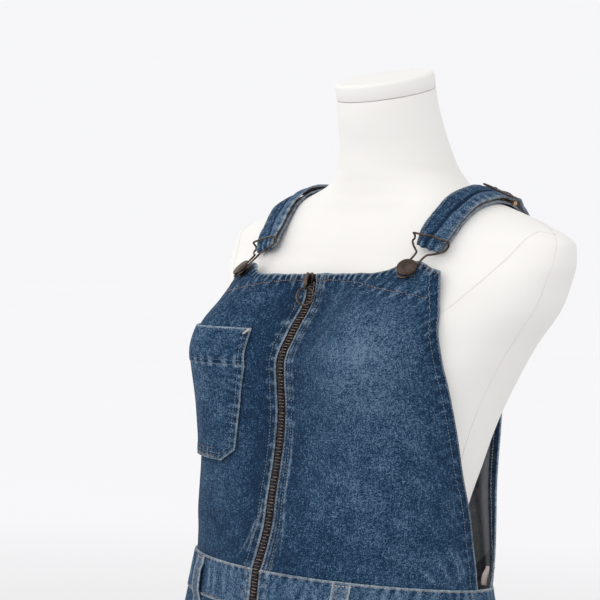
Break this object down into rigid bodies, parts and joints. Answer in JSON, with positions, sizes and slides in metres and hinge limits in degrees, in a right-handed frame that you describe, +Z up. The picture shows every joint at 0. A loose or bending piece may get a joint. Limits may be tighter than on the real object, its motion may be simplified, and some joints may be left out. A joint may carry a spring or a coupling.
{
  "type": "shortalls on a dress form",
  "caption": "Denim shortalls with a front zip, chest pocket and buckled straps, worn on a limbless dress form on a short stand.",
  "frame": {"origin": "centre of the base plate's underside", "axes": "+Z up, -Y the way the front faces, +X to the wearer's left"},
  "size_m": [0.418, 0.3084, 0.9939],
  "materials": {
    "denim": "washed indigo twill, worn pale at edges and seams",
    "zip_tape": "charcoal woven tape with dark copper teeth",
    "aged_bronze": "aged bronze, rubbed bright on edges",
    "brass": "satin",
    "form_jersey": "smooth warm white jersey cover",
    "stand_steel": "satin",
    "stand_paint": "satin white"
  },
  "bodies": {
    "garment_and_form": {"form_torso": "form_jersey", "form_neck_cap": "form_jersey", "stand_pole": "stand_steel", "stand_base": "stand_paint", "bib_back": "denim", "waistband_back": "denim", "bib_pocket": "denim", "belt_loop_back": "denim", "bib_front_right": "denim", "waistband_front_right": "denim", "shorts_front_right": "denim", "shorts_back_right": "denim", "strap_right": "denim", "belt_loop_front_right": "denim", "belt_loop_side_right": "denim", "strap_hook_right": "aged_bronze", "strap_slide_right": "aged_bronze", "bib_button_right": "aged_bronze", "strap_slide_bar_right": "brass", "bib_front_left": "denim", "waistband_front_left": "denim", "shorts_front_left": "denim", "shorts_back_left": "denim", "strap_left": "denim", "belt_loop_front_left": "denim", "belt_loop_side_left": "denim", "strap_hook_left": "aged_bronze", "strap_slide_left": "aged_bronze", "bib_button_left": "aged_bronze", "strap_slide_bar_left": "brass", "zip_chain": "zip_tape", "zip_slider": "aged_bronze"},
    "pull_tab": {"zip_pull_tab": "aged_bronze"},
    "pull_ring": {"zip_ring": "aged_bronze"}
  },
  "joints": [
    {"name": "pull_tab_hinge", "type": "hinge", "parent": "garment_and_form", "child": "pull_tab", "pos_m": [0, -0.066, 0.7815], "axis": [-1, 0, 0], "range_deg": [0, 100]},
    {"name": "pull_ring_hinge", "type": "hinge", "parent": "pull_tab", "child": "pull_ring", "pos_m": [0, -0.0672, 0.7722], "axis": [-0.9272, -0.3746, 0], "range_deg": [0, 75]}
  ]
}
